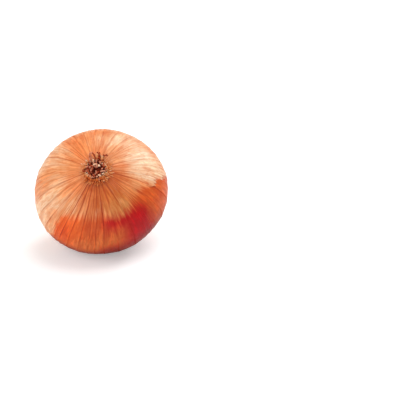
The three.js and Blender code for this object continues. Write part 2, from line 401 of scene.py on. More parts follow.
def pleat_relief(angle, run):
    """The dry neck shrinks to pleats that wind a little."""
    share = np.clip((run - PLEAT_START) / (RUN_OF_MOUTH - PLEAT_START), 0, 1)
    wave = np.sin(PLEATS * (angle + PLEAT_TWIST * share) + PLEAT_CROWDING * np.sin(CROWDS * angle))
    return PLEAT_DEPTH * share**PLEAT_GROWTH * wave


print("pleats:", PLEATS)

# %% Rows of skin
ROOT_SIDE_ROWS = 112
NECK_SIDE_ROWS = 128
NECK_ROWS = 14
LUMPS_FADE_IN = 0.15  # run over which the lumps rise from the rim

skin_columns = VEINS * COLUMNS_PER_VEIN
vein_numbers = np.arange(skin_columns) / COLUMNS_PER_VEIN
column_angles = vein_angle(vein_numbers)
runs = np.concatenate([
    np.linspace(RIM_RUN, 1, ROOT_SIDE_ROWS),
    np.linspace(1, 2, NECK_SIDE_ROWS)[1:],
    np.linspace(2, RUN_OF_MOUTH, NECK_ROWS)[1:],
])


def ring(radius, height, run):
    """One row of skin points, without relief."""
    angles = leaning(column_angles, run)
    return np.stack([
        radius * np.cos(angles),
        radius * np.sin(angles) + neck_bend(height),
        np.broadcast_to(height, angles.shape),
    ], axis=1)


def skin_row(run):
    """One row of skin points, with every relief."""
    radius, height = outline(run)
    plain = ring(radius, height, run)
    swollen = radius + swelling(leaning(column_angles, run), height)
    swollen = swollen + vein_relief(vein_numbers, run) + pleat_relief(column_angles, run)
    lumps = UNEVEN_HEIGHT * cloud(plain, UNEVEN_SIZE) + CRUMPLE_HEIGHT * cloud(plain, CRUMPLE_SIZE)
    ease = min(1, (run - RIM_RUN) / LUMPS_FADE_IN)
    return ring(swollen + lumps * ease, height, run)


skin_rows = [skin_row(run) for run in runs]
print("rows of skin:", len(skin_rows), "with", skin_columns, "points each")

# %% Join the rows to the skin
TEAR_LOBES = 5
TEAR_MOST = 1.5
TEAR_RAGGED = (0.6, 1)
RECESS_STEPS = ((7.3, 0.35), (6.95, 0.1), (6.7, -0.7), (6.6, -2.4))  # radius, height over the rim
CUP_STEPS = ((4.4, 0.5), (3.3, 3.4))  # radius, height over the mouth

tear_luck = random.Random(11)
lobes = 0.5 + 0.5 * np.sin(TEAR_LOBES * column_angles)
tear = TEAR_MOST * lobes * [tear_luck.uniform(*TEAR_RAGGED) for _ in column_angles]
skin_rows[-1][:, 2] -= tear
rim_height = float(outline(RIM_RUN)[1])
recess = [ring(radius, rim_height + over, RIM_RUN) for radius, over in reversed(RECESS_STEPS)]
cup = [ring(radius, NECK_MOUTH + over, RUN_OF_MOUTH) for radius, over in CUP_STEPS]
skin_rows = recess + skin_rows + cup
skin_faces = [face[::-1] for face in tube_faces(len(skin_rows), skin_columns)]
skin = make_piece("dry_skin", np.concatenate(skin_rows), skin_faces, ["bulb"])
for vertex in skin.data.vertices:
    vertex.co.z = max(vertex.co.z, 0)
print("skin faces:", len(skin.data.polygons))

# %% Store around and run on the skin
LIDS = 2

skin_runs = np.concatenate([np.full(len(recess), RIM_RUN), runs, np.full(len(cup), RUN_OF_MOUTH)])
corner_points = np.zeros(len(skin.data.loops), int)
skin.data.loops.foreach_get("vertex_index", corner_points)
corner_columns = corner_points % skin_columns
corner_runs = skin_runs[corner_points // skin_columns]
wraps = np.zeros(len(skin.data.loops))
quad_corners = 4 * (len(skin.data.polygons) - LIDS)
quad_columns = corner_columns[:quad_corners].reshape(-1, 4)
crosses = (quad_columns.max(1) == skin_columns - 1) & (quad_columns.min(1) == 0)
wraps[:quad_corners] = ((quad_columns == 0) & crosses[:, None]).ravel()
write_run(skin, np.stack([corner_columns / skin_columns + wraps, corner_runs], axis=1))
print("faces that close the round:", int(crosses.sum()))

# %% [markdown]
# ## Shared effects for the materials
# Three things return on every dry part of the onion: long fibres that follow the growth, dark veins,
# and blotches where the skin has dried unevenly. Each is a node group with named sockets, built once
# and placed in each material with its own values. A few helpers keep the wiring short.

# %% Helpers for wiring nodes
def plug(tree, value, socket):
    """Joins a socket to another one, or sets it to a plain value."""
    if isinstance(value, bpy.types.NodeSocket):
        tree.links.new(value, socket)
    else:
        socket.default_value = value


def maths(tree, operation, *values):
    """One sum on numbers."""
    node = tree.nodes.new("ShaderNodeMath")
    node.operation = operation
    for value, socket in zip(values, node.inputs):
        plug(tree, value, socket)
    return node.outputs[0]


def remap(tree, value, low, high, to_low=0.0, to_high=1.0):
    """Turns a range of values into another, eased at both ends."""
    node = tree.nodes.new("ShaderNodeMapRange")
    node.interpolation_type = "SMOOTHSTEP"
    for limit, socket in zip((value, low, high, to_low, to_high), node.inputs):
        plug(tree, limit, socket)
    return node.outputs[0]


def joined(tree, *values):
    """Up to three numbers as a place."""
    node = tree.nodes.new("ShaderNodeCombineXYZ")
    for value, socket in zip(values, node.inputs):
        plug(tree, value, socket)
    return node.outputs[0]


def lumpy(tree, place, scale=1, detail=1, dimensions="3D"):
    """Smooth noise at a place, between 0 and 1."""
    node = tree.nodes.new("ShaderNodeTexNoise")
    node.noise_dimensions = dimensions
    node.inputs["Detail"].default_value = detail
    plug(tree, scale, node.inputs["Scale"])
    plug(tree, place, node.inputs["Vector"])
    return node.outputs["Fac"]


print("helpers for nodes are ready")

# %% Helpers for colours and groups
SCREEN_MOST = 255
SCREEN_POWER = 2.2


def colour(red, green, blue):
    """A colour as it is read off a screen, 0 to 255, as the light that the nodes work with."""
    light = [(value / SCREEN_MOST) ** SCREEN_POWER for value in (red, green, blue)]
    return (*light, 1)


def blend(tree, share, first, second, mode="MIX"):
    """Mixes two colours."""
    node = tree.nodes.new("ShaderNodeMix")
    node.data_type = "RGBA"
    node.blend_type = mode
    plug(tree, share, node.inputs["Factor"])
    plug(tree, first, node.inputs["A"])
    plug(tree, second, node.inputs["B"])
    return node.outputs["Result"]


def ramp(tree, value, stops):
    """Colours along a value: pairs of place and tone."""
    node = tree.nodes.new("ShaderNodeValToRGB")
    node.color_ramp.interpolation = "EASE"
    elements = node.color_ramp.elements
    while len(elements) < len(stops):
        elements.new(0.5)
    for element, (place, tone) in zip(elements, sorted(stops)):
        element.position = place
        element.color = tone
    plug(tree, value, node.inputs["Fac"])
    return node.outputs["Color"]


def new_group(name, inputs, outputs):
    """An empty node group with named sockets of numbers."""
    group = bpy.data.node_groups.new(name, "ShaderNodeTree")
    for socket, value in inputs.items():
        made = group.interface.new_socket(socket, in_out="INPUT", socket_type="NodeSocketFloat")
        made.default_value = value
    for socket in outputs:
        group.interface.new_socket(socket, in_out="OUTPUT", socket_type="NodeSocketFloat")
    return group, group.nodes.new("NodeGroupInput").outputs, group.nodes.new("NodeGroupOutput").inputs


def place_group(tree, group, **values):
    """Places a group in a material, with values for its sockets."""
    node = tree.nodes.new("ShaderNodeGroup")
    node.node_tree = group
    for name, value in values.items():
        plug(tree, value, node.inputs[name])
    return node.outputs


print("a middle grey on a screen is light of", round(colour(128, 128, 128)[0], 2))

# %% Fibres that follow the growth
FIBRE_DETAIL = 2
FIBRE_RANGE = (0.3, 0.7)  # the part of the noise that is stretched from 0 to 1

fibre_group, given, result = new_group(
    "growth_fibres", {"Around": 0, "Run": 0, "Count": 130, "Stretch": 3, "Start": 0}, ["Fibres"]
)
turn = maths(fibre_group, "MULTIPLY", given["Around"], 2 * math.pi)
reach = maths(fibre_group, "DIVIDE", given["Count"], 2 * math.pi)
across = maths(fibre_group, "MULTIPLY", maths(fibre_group, "COSINE", turn), reach)
beside = maths(fibre_group, "MULTIPLY", maths(fibre_group, "SINE", turn), reach)
onward = maths(fibre_group, "MULTIPLY_ADD", given["Run"], given["Stretch"], given["Start"])
grain = lumpy(fibre_group, joined(fibre_group, across, beside, onward), detail=FIBRE_DETAIL)
plug(fibre_group, remap(fibre_group, grain, *FIBRE_RANGE), result["Fibres"])
print("group:", fibre_group.name)

# %% Dark veins
VEIN_SWAY_ROUND = 0.6 * VEINS  # how quickly neighbouring veins sway differently
VEIN_SWAY_ALONG = 4.0
VEIN_FADE_ALONG = 2.2  # how often a vein fades along its run
VEIN_FADE_APART = 7.3  # keeps the fading of one vein apart from the next one's
FADE_RANGE = (0.25, 0.55)  # the part of the noise over which a vein fades
FADE_LEAST = 0.45  # what is left of a faded vein
GIRTH_LEAST = 0.12
WIDEST_GAP = BULB_RADIUS * VEIN_SPACING

vein_group, given, result = new_group(
    "dark_veins", {"Around": 0, "Run": 0, "Width": 0.5, "Wander": 0.25}, ["Line", "Chance", "Band"]
)


def chance_of(tree, number):
    """A random value for each whole number."""
    node = tree.nodes.new("ShaderNodeTexWhiteNoise")
    node.noise_dimensions = "1D"
    plug(tree, number, node.inputs["W"])
    return node.outputs["Value"]


sway_round = maths(vein_group, "MULTIPLY", given["Around"], VEIN_SWAY_ROUND)
sway_along = maths(vein_group, "MULTIPLY", given["Run"], VEIN_SWAY_ALONG)
sway = lumpy(vein_group, joined(vein_group, sway_round, sway_along), dimensions="2D")
sideways = maths(vein_group, "MULTIPLY", maths(vein_group, "SUBTRACT", sway, 0.5), given["Wander"])
vein_at = maths(vein_group, "MULTIPLY_ADD", given["Around"], VEINS, sideways)
nearest = maths(vein_group, "ROUND", vein_at)
number = maths(vein_group, "FLOORED_MODULO", nearest, VEINS)
band = maths(vein_group, "FLOORED_MODULO", maths(vein_group, "FLOOR", vein_at), VEINS)
girth = maths(vein_group, "SINE", maths(vein_group, "MULTIPLY", given["Run"], math.pi / 2))
girth = maths(vein_group, "MULTIPLY", maths(vein_group, "MAXIMUM", girth, GIRTH_LEAST), WIDEST_GAP)
gap = maths(vein_group, "ABSOLUTE", maths(vein_group, "SUBTRACT", vein_at, nearest))
line = remap(vein_group, maths(vein_group, "MULTIPLY", gap, girth), 0, given["Width"], 1, 0)
fade_round = maths(vein_group, "MULTIPLY", number, VEIN_FADE_APART)
fade_along = maths(vein_group, "MULTIPLY", given["Run"], VEIN_FADE_ALONG)
fade = lumpy(vein_group, joined(vein_group, fade_round, fade_along), dimensions="2D")
left = remap(vein_group, fade, *FADE_RANGE, FADE_LEAST, 1)
plug(vein_group, maths(vein_group, "MULTIPLY", line, left), result["Line"])
plug(vein_group, chance_of(vein_group, number), result["Chance"])
plug(vein_group, chance_of(vein_group, maths(vein_group, "ADD", band, 0.5)), result["Band"])
print("group:", vein_group.name)

# %% Blotches of uneven drying
BLOTCHES_TO_A_METRE = 1000  # at a size of one millimetre
BLOTCH_DETAIL = 3
SPECKS_TO_A_METRE = 5200
SPECK_DETAIL = 2
SPECK_RANGE = (0.45, 0.7)

blotch_group, given, result = new_group(
    "dry_blotches", {"Size": 6, "Sharpness": 0.2}, ["Blotches", "Specks"]
)
on_object = blotch_group.nodes.new("ShaderNodeTexCoord").outputs["Object"]
blotch_scale = maths(blotch_group, "DIVIDE", BLOTCHES_TO_A_METRE, given["Size"])
blotches = lumpy(blotch_group, on_object, blotch_scale, BLOTCH_DETAIL)
low = maths(blotch_group, "SUBTRACT", 0.5, given["Sharpness"])
high = maths(blotch_group, "ADD", 0.5, given["Sharpness"])
plug(blotch_group, remap(blotch_group, blotches, low, high), result["Blotches"])
speck_scale = maths(blotch_group, "DIVIDE", SPECKS_TO_A_METRE, given["Size"])
specks = lumpy(blotch_group, on_object, speck_scale, SPECK_DETAIL)
plug(blotch_group, remap(blotch_group, specks, *SPECK_RANGE), result["Specks"])
print("group:", blotch_group.name)

# %% [markdown]
# ## The finish of the skin
# The skin is peach-coloured paper, tan round the root, paler where it is dry and loose, with a thin
# brown line on each vein. Low on the bulb the outer paper thins out and the fresher skin below shows:
# orange, then crimson. We paint it as a maker would, with a few tones from a small palette laid on as
# soft patches. A patch is placed by an angle round the bulb and by the run where it begins and ends,
# and fibres fray its edges, so that it looks grown.

# %% Helpers for a finish
def new_finish(name):
    """A material with a Principled shader, and the two stored numbers."""
    material, tree, shader = new_material(name)
    stored = tree.nodes.new("ShaderNodeUVMap")
    stored.uv_map = RUN_LAYER
    split = tree.nodes.new("ShaderNodeSeparateXYZ")
    plug(tree, stored.outputs["UV"], split.inputs[0])
    return material, tree, shader, split.outputs["X"], split.outputs["Y"]


def roughen(tree, shader, specks, least, most):
    """Roughness that changes from speck to speck."""
    plug(tree, remap(tree, specks, 0, 1, least, most), shader["Roughness"])


def add_bump(tree, shader, height, strength, distance_mm):
    """Small relief that is too fine for the mesh."""
    bump = tree.nodes.new("ShaderNodeBump")
    bump.inputs["Strength"].default_value = strength
    bump.inputs["Distance"].default_value = distance_mm * MM
    plug(tree, height, bump.inputs["Height"])
    plug(tree, bump.outputs["Normal"], shader["Normal"])


print("finishes read", RUN_LAYER)

# %% Place the shared effects on the skin
skin_finish, skin_tree, skin_shader, skin_around, skin_run = new_finish("onion_skin")
along_skin = {"Around": skin_around, "Run": skin_run}
skin_veins = place_group(skin_tree, vein_group, **along_skin, Width=0.46, Wander=0.14)
streaks = place_group(skin_tree, fibre_group, **along_skin, Count=60, Stretch=4, Start=4)[0]
broad_fibres = place_group(skin_tree, fibre_group, **along_skin, Count=170, Stretch=6)[0]
fine_fibres = place_group(skin_tree, fibre_group, **along_skin, Count=480, Stretch=14, Start=9)[0]
skin_blotches = place_group(skin_tree, blotch_group, Size=9)
skin.data.materials.append(skin_finish)
print("finish:", skin_finish.name)

# %% Soft patches of a tone
PATCH_FADE_ROUND = 8  # degrees to each side of a patch's edge
PATCH_FADE_ALONG = 0.1  # run to each side of a patch's ends
PATCH_FRAY = 0.06  # how far the fibres push a patch along, in run
PATCH_DRIFT = 4  # degrees that uneven drying moves a patch's edge
ALL_ROUND = 200  # degrees to each side, past the half circle

fray = maths(skin_tree, "SUBTRACT", broad_fibres, 0.5)
frayed_run = maths(skin_tree, "MULTIPLY_ADD", fray, PATCH_FRAY, skin_run)
even_angle = maths(skin_tree, "MULTIPLY", skin_around, 2 * math.pi)
wave = maths(skin_tree, "SINE", maths(skin_tree, "MULTIPLY", even_angle, WANDER_WAVES[0]))
other_wave = maths(skin_tree, "MULTIPLY_ADD", even_angle, WANDER_WAVES[1], WANDER_SHIFT)
wander = maths(skin_tree, "ADD", wave, maths(skin_tree, "SINE", other_wave))
skin_turn = maths(skin_tree, "MULTIPLY_ADD", wander, VEIN_WANDER / VEINS, skin_around)
uneven = maths(skin_tree, "SUBTRACT", skin_blotches["Blotches"], 0.5)
frayed_turn = maths(skin_tree, "MULTIPLY_ADD", uneven, PATCH_DRIFT / 360, skin_turn)


def patch(middle, spread, begins, ends, fade=PATCH_FADE_ROUND):
    """A mask on the skin: an angle, degrees to each side of it, and two runs."""
    tree = skin_tree
    offset = maths(tree, "SUBTRACT", frayed_turn, middle / 360)
    aside = maths(tree, "ABSOLUTE", maths(tree, "WRAP", offset, 0.5, -0.5))
    mask = remap(tree, aside, (spread - fade) / 360, (spread + fade) / 360, 1, 0)
    for edge, before, after in ((begins, 0, 1), (ends, 1, 0)):
        low, high = edge - PATCH_FADE_ALONG, edge + PATCH_FADE_ALONG
        mask = maths(tree, "MULTIPLY", mask, remap(tree, frayed_run, low, high, before, after))
    return mask


def painted(base, patches):
    """A colour over the whole skin: a base tone, and patches laid on it in turn."""
    result = base
    for tone, middle, spread, begins, ends, strength in patches:
        share = maths(skin_tree, "MULTIPLY", patch(middle, spread, begins, ends), strength)
        result = blend(skin_tree, share, result, tone)
    return result


print("patches fade over", 2 * PATCH_FADE_ROUND, "degrees")

# %% Tones of the outer paper
# This ivory tone serves only as a painted highlight.
IVORY_HIGHLIGHT = colour(252, 240, 208)
CREAM = colour(246, 219, 187)
PEACH = colour(231, 164, 112)
APRICOT = colour(229, 142, 85)
STRAW = colour(208, 134, 72)
TAN = colour(200, 106, 52)
LOOSE_FROM = 0.45  # streaks above this value are loose paper
LOOSE_MOST = 0.3  # how much paler loose paper is
PAPER_PATCHES = (  # tone, angle, spread, run where it begins and ends, strength
    (APRICOT, 0, ALL_ROUND, 0.0, 0.3, 0.8),
    (TAN, 284, 42, 0.0, 0.46, 1.0),
    (TAN, 338, 24, 0.0, 0.28, 1.0),
    (STRAW, 312, 24, 0.34, 0.7, 0.8),
    (PEACH, 256, 12, 0.34, 0.46, 0.6),
    (PEACH, 296, 8, 0.38, 0.54, 0.35),
    # Partly paler paper, partly painted light: the cream patch on the upper right is lightened where the
    # lamps leave the bulb darker, and the ivory spot in it is a painted highlight.
    (CREAM, 20, 22, 0.34, 1.3, 0.9),
    (IVORY_HIGHLIGHT, 17, 7, 0.46, 0.66, 0.7),
    (CREAM, 60, 16, 0.4, 1.3, 0.6),
    (PEACH, 48, 16, 0.12, 0.32, 0.7),
    (TAN, 82, 9, 0.2, 0.32, 0.25),
    (CREAM, 74, 9, 0.75, 1.2, 0.5),
    (APRICOT, 35, 9, 0.64, 0.88, 0.7),
    (CREAM, 93, 9, 0.36, 0.48, 0.35),
    (APRICOT, 90, 14, 0.5, 0.66, 0.8),
    (APRICOT, 118, 20, 0.15, 0.62, 0.9),
    (CREAM, 209, 16, 0.5, 1.1, 0.6),
    (CREAM, 154, 16, 0.4, 1.1, 0.35),
    (APRICOT, 171, 9, 0.38, 0.66, 0.5),
    (APRICOT, 188, 12, 0.5, 0.95, 0.5),
    (APRICOT, 218, 14, 0.16, 0.38, 0.6),
    (STRAW, 0, ALL_ROUND, 1.25, 3.0, 0.8),
    (TAN, 0, ALL_ROUND, 1.75, 3.0, 0.6),
)
FLUSH_MOST = 0.4
FADED_MOST = 0.3

loose = remap(skin_tree, streaks, LOOSE_FROM, 1, 0, LOOSE_MOST)
paper = painted(blend(skin_tree, loose, PEACH, CREAM), PAPER_PATCHES)
flushed = remap(skin_tree, skin_blotches["Blotches"], 0.5, 1, 0, FLUSH_MOST)
paper = blend(skin_tree, flushed, paper, APRICOT)
faded = remap(skin_tree, skin_blotches["Blotches"], 0, 0.5, FADED_MOST, 0)
paper = blend(skin_tree, maths(skin_tree, "MULTIPLY", faded, loose), paper, CREAM)
print("patches on the paper:", len(PAPER_PATCHES))

# %% Tones of the fresher skin below
ORANGE = colour(232, 108, 44)
COPPER = colour(206, 97, 46)
CRIMSON = colour(188, 14, 22)
# A maroon used only for painted shade on the underside.
UNDERSIDE_SHADE_MAROON = colour(112, 6, 12)
RUST = colour(140, 50, 22)
UNDER_PATCHES = (  # as for the paper
    (ORANGE, 245, 14, 0.0, 0.98, 1.0),
    (CRIMSON, 246, 7, 0.66, 0.86, 0.3),
    (TAN, 276, 16, 0.74, 1.0, 0.5),
    (APRICOT, 266, 12, 0.8, 1.0, 0.4),
    (CRIMSON, 284, 10, 0.5, 0.64, 0.25),
    (CRIMSON, 304, 19, 0.0, 0.66, 0.95),
    (CRIMSON, 308, 10, 0.74, 1.0, 0.5),
    (CRIMSON, 317, 13, 0.55, 1.6, 1.0),
    # Partly the skin's own red, partly painted shade: low on the underside, towards the table, the skin is
    # painted deeper in crimson, maroon and rust.
    (CRIMSON, 302, 22, 0.92, 1.6, 0.75),
    (ORANGE, 350, 16, 0.0, 1.3, 0.4),
    # painted shade on the underside
    (UNDERSIDE_SHADE_MAROON, 308, 26, 0.9, 1.6, 0.5),
    (RUST, 276, 70, 1.02, 1.7, 0.75),
    (STRAW, 0, ALL_ROUND, 1.6, 3.0, 0.6),
)

under_skin = painted(COPPER, UNDER_PATCHES)
print("patches below:", len(UNDER_PATCHES))

# %% [markdown]
# ## Where one skin ends and the next shows
# The outer paper doesn't end in a clean line. It runs out in tongues between the veins and thins over a
# few millimetres. A curve that gives the run of its end for each angle is easier to adjust than a painted
# mask, and the fibres push that end to and fro.

# %% Where the outer paper ends
PAPER_ENDS = (  # angle in degrees, run
    (0, 0.62), (7, 0.74), (15, 1.0), (28, 1.6), (44, 2.6), (194, 2.6), (208, 0.7), (231, 0.56),
    (243, 0.52), (257, 0.47), (277, 0.44), (301, 0.53), (315, 0.51), (328, 0.42), (345, 0.48), (360, 0.62),
)
BEFORE_ALL = -1  # a run before the root
MOST_RUN = 3.0
WHOLE_SIDE = (139, 97, BEFORE_ALL, MOST_RUN, 3)  # where the paper is whole: a patch with a narrow fade
FLAME = 0.05  # how much further the paper runs along some veins
PAPER_THINS = 0.07  # run over which it thins out

edge_curve = skin_tree.nodes.new("ShaderNodeFloatCurve")
curve = edge_curve.mapping.curves[0]
while len(curve.points) < len(PAPER_ENDS):
    curve.points.new(0.5, 0.5)
for point, (degrees, run) in zip(curve.points, PAPER_ENDS):
    point.location = (degrees / 360, run / MOST_RUN)
edge_curve.mapping.update()
plug(skin_tree, maths(skin_tree, "FRACT", frayed_turn), edge_curve.inputs["Value"])
paper_end = maths(skin_tree, "MULTIPLY", edge_curve.outputs[0], MOST_RUN)
tongues = maths(skin_tree, "ADD", skin_veins["Band"], broad_fibres)
past_end = maths(skin_tree, "SUBTRACT", skin_run, paper_end)
past_end = maths(skin_tree, "MULTIPLY_ADD", maths(skin_tree, "SUBTRACT", tongues, 1), -FLAME, past_end)
bare = remap(skin_tree, past_end, -PAPER_THINS, PAPER_THINS)
bare = maths(skin_tree, "MULTIPLY", bare, maths(skin_tree, "SUBTRACT", 1, patch(*WHOLE_SIDE)))
skin_colour = blend(skin_tree, bare, paper, under_skin)
print("outer paper ends first at run", min(run for _, run in PAPER_ENDS))

# %% [markdown]
# ## Fibres, veins and gloss
# Close up the skin is all fibres: pale ones that catch the light, brown ones and specks, while the short
# dark ticks at the rim are painted shadows of the shreds. The veins are the strongest lines, darkest on the
# underside. We could paint them in, but a clear brown that multiplies what lies below keeps every tone in
# tune. The same fibres and specks then serve as bump and roughness, so that what looks like a fibre also
# shines like one.

# %% Fibres and bands over both
STAIN = colour(238, 178, 126)  # a clear brown that deepens what it lies on
GLEAM = (0.2, 0.18, 0.16, 1)  # lightens what it lies on
BAND_STAIN = 0.35
STREAK_STAIN = 0.2
FIBRE_STAIN = 0.4

gleaming = remap(skin_tree, broad_fibres, 0.5, 1)
skin_colour = blend(skin_tree, gleaming, skin_colour, GLEAM, "DODGE")
banded = maths(skin_tree, "MULTIPLY", skin_veins["Band"], BAND_STAIN)
skin_colour = blend(skin_tree, banded, skin_colour, STAIN, "MULTIPLY")
for fibres, depth in ((streaks, STREAK_STAIN), (broad_fibres, FIBRE_STAIN), (fine_fibres, FIBRE_STAIN)):
    stained = remap(skin_tree, fibres, 0, 0.5, depth, 0)
    skin_colour = blend(skin_tree, stained, skin_colour, STAIN, "MULTIPLY")
print("skin nodes:", len(skin_tree.nodes))

# %% Specks, and painted shadow ticks at the rim
SPECK_STAIN = 0.2
SPECKS_SHOW = (0.55, 0.75)  # the specks that stain, from the first to the full ones
RIM_SHADOW_TICKS = 0.09  # run
SHADOW_TICK_SIDE = (276, 56, BEFORE_ALL, 1)  # a patch where the ticks are dark
SHADOW_TICKS_ELSEWHERE = 0.25
SHADOW_TICKS_SHOW = (0.4, 0.75)
SHADOW_TICK_MOST = 0.75

specked = remap(skin_tree, skin_blotches["Specks"], *SPECKS_SHOW, 0, SPECK_STAIN)
skin_colour = blend(skin_tree, specked, skin_colour, STAIN, "MULTIPLY")
# Painted shadows: short dark rust ticks just outside the rim stand for the shadows that the torn shreds
# cast, darkest on the underside and faint elsewhere.
shadow_near_rim = remap(skin_tree, skin_run, RIM_RUN, RIM_RUN + RIM_SHADOW_TICKS, 1, 0)
shaded_side = remap(skin_tree, patch(*SHADOW_TICK_SIDE), 0, 1, SHADOW_TICKS_ELSEWHERE, 1)
shadow_near_rim = maths(skin_tree, "MULTIPLY", shadow_near_rim, shaded_side)
shadow_ticks = remap(skin_tree, broad_fibres, *SHADOW_TICKS_SHOW, 0, SHADOW_TICK_MOST)
skin_colour = blend(skin_tree, maths(skin_tree, "MULTIPLY", shadow_near_rim, shadow_ticks), skin_colour, RUST)
print("ticks reach", RIM_SHADOW_TICKS, "of a run past the rim")

# %% Dark lines on the veins
VEIN_STAIN = colour(192, 122, 84)
VEIN_DEPTHS = (  # angle, degrees to each side, depth
    (252, 56, 1.0),
    (228, 26, 1.4),
    (276, 14, 1.4),
    (322, 40, 0.7),
    (178, 26, 0.7),
    (0, ALL_ROUND, 0.5),
)
VEIN_LEAST = 0.5
VEIN_FAINTEST = 0.35  # what the faintest vein has of that
VEIN_CALM = (312, 24, 0.42, 1.3)  # the red side hides its veins: angle, degrees to each side, runs
CALM_SHARE = 0.7
VEINS_BEGIN = 0.1
VEINS_END = 0.84

vein_depth = 0.0
for middle, spread, depth in VEIN_DEPTHS:
    deep = maths(skin_tree, "MULTIPLY", patch(middle, spread, VEINS_BEGIN, VEINS_END), depth)
    vein_depth = maths(skin_tree, "MAXIMUM", deep, vein_depth)
vein_depth = maths(skin_tree, "MAXIMUM", vein_depth, VEIN_LEAST)
hidden = maths(skin_tree, "MULTIPLY", patch(*VEIN_CALM), CALM_SHARE)
vein_depth = maths(skin_tree, "MULTIPLY", vein_depth, maths(skin_tree, "SUBTRACT", 1, hidden))
vein_share = remap(skin_tree, skin_veins["Chance"], 0, 1, VEIN_FAINTEST, 1)
vein_share = maths(skin_tree, "MULTIPLY", vein_share, vein_depth)
vein_dark = maths(skin_tree, "MULTIPLY", skin_veins["Line"], vein_share)
skin_colour = blend(skin_tree, vein_dark, skin_colour, VEIN_STAIN, "MULTIPLY")
plug(skin_tree, skin_colour, skin_shader["Base Color"])
print("veins drawn:", VEINS)

# %% Gloss and bump of the skin
SKIN_ROUGHNESS = (0.34, 0.48)
VEIN_ROUGHER = 0.3
SKIN_SPECULAR = 0.22
FINE_HEIGHT = 0.35
BROAD_HEIGHT = 0.5

gloss = remap(skin_tree, skin_blotches["Specks"], 0, 1, *SKIN_ROUGHNESS)
gloss = maths(skin_tree, "MULTIPLY_ADD", skin_veins["Line"], VEIN_ROUGHER, gloss)
plug(skin_tree, gloss, skin_shader["Roughness"])
skin_shader["Specular IOR Level"].default_value = SKIN_SPECULAR
skin_height = maths(skin_tree, "MULTIPLY", fine_fibres, FINE_HEIGHT)
skin_height = maths(skin_tree, "MULTIPLY_ADD", broad_fibres, BROAD_HEIGHT, skin_height)
add_bump(skin_tree, skin_shader, skin_height, strength=0.35, distance_mm=0.2)
print("skin roughness:", SKIN_ROUGHNESS)

# %% [markdown]
# ## Torn skin round the root plate
# Where the roots were trimmed the skin has split into a fringe: some shreds bend in over the roots,
# some curl up, most lie outward on the bulb like rays. Each is a little strip that starts at the rim,
# leans over as it rises and ends in a ragged tip. They are made in one mesh, with random sizes from a
# seeded generator and a tone of their own, and a Solidify modifier gives the paper its thickness.

# %% One curling shred
SHRED_ROWS = 6
SHRED_COLUMNS = 4
SHRED_TAPER = 0.6
SHRED_BOW = 0.12
SHRED_RAGGED = (-0.7, 0.55)  # how much shorter or longer a column ends, in rows


def shred(luck, angle, start_radius, start_height, length, width, lean, curl, twist):
    """Points of one curling strip: it rises from its start and leans outward more and more."""
    out = np.array([math.cos(angle), math.sin(angle), 0])
    beside = np.array([-math.sin(angle), math.cos(angle), 0])
    beside = beside * math.cos(twist) + out * math.sin(twist)
    up = np.array([0, 0, 1.0])
    middle = out * start_radius + up * start_height
    step = length / (SHRED_ROWS - 1)
    tips = [luck.uniform(*SHRED_RAGGED) * step for _ in range(SHRED_COLUMNS)]
    points = []
    for row in range(SHRED_ROWS):
        share = row / (SHRED_ROWS - 1)
        slope = lean + curl * share
        heading = out * math.sin(slope) + up * math.cos(slope)
        half_width = width / 2 * (1 - SHRED_TAPER * share**2)
        for column in range(SHRED_COLUMNS):
            side = 2 * column / (SHRED_COLUMNS - 1) - 1
            bow = SHRED_BOW * width * (1 - side * side)
            ragged = heading * tips[column] * share**3
            normal = np.cross(beside, heading)
            points.append(middle + beside * side * half_width - normal * bow + ragged)
        middle = middle + heading * step
    return np.array(points)


print("points to a shred:", SHRED_ROWS * SHRED_COLUMNS)

# %% Many shreds in one mesh
def shred_mesh(shreds):
    """Points, faces, and the numbers around and run for every corner, of many shreds."""
    faces = []
    stored = []
    one_shred = grid_faces(SHRED_ROWS, SHRED_COLUMNS)
    for index in range(len(shreds)):
        faces += shifted(one_shred, index * SHRED_ROWS * SHRED_COLUMNS)
        for face in one_shred:
            for corner in face:
                row, column = divmod(corner, SHRED_COLUMNS)
                across = column / SHRED_COLUMNS
                stored.append(((index + across) / len(shreds), row / (SHRED_ROWS - 1)))
    return np.concatenate(shreds), faces, stored


def thicken(piece, thickness):
    """Gives thin paper its thickness, in millimetres."""
    modifier = piece.modifiers.new("paper", "SOLIDIFY")
    modifier.thickness = thickness * MM
    modifier.offset = 0


def write_tone(piece, tones):
    """Stores a tone from 0, dark, to 1, pale, for every point."""
    layer = piece.data.attributes.new("tone", "FLOAT", "POINT")
    layer.data.foreach_set("value", tones)


def read_tone(tree):
    """The stored tone, in a material."""
    node = tree.nodes.new("ShaderNodeAttribute")
    node.attribute_name = "tone"
    return node.outputs["Fac"]


print("corners to a shred:", 4 * len(grid_faces(SHRED_ROWS, SHRED_COLUMNS)))

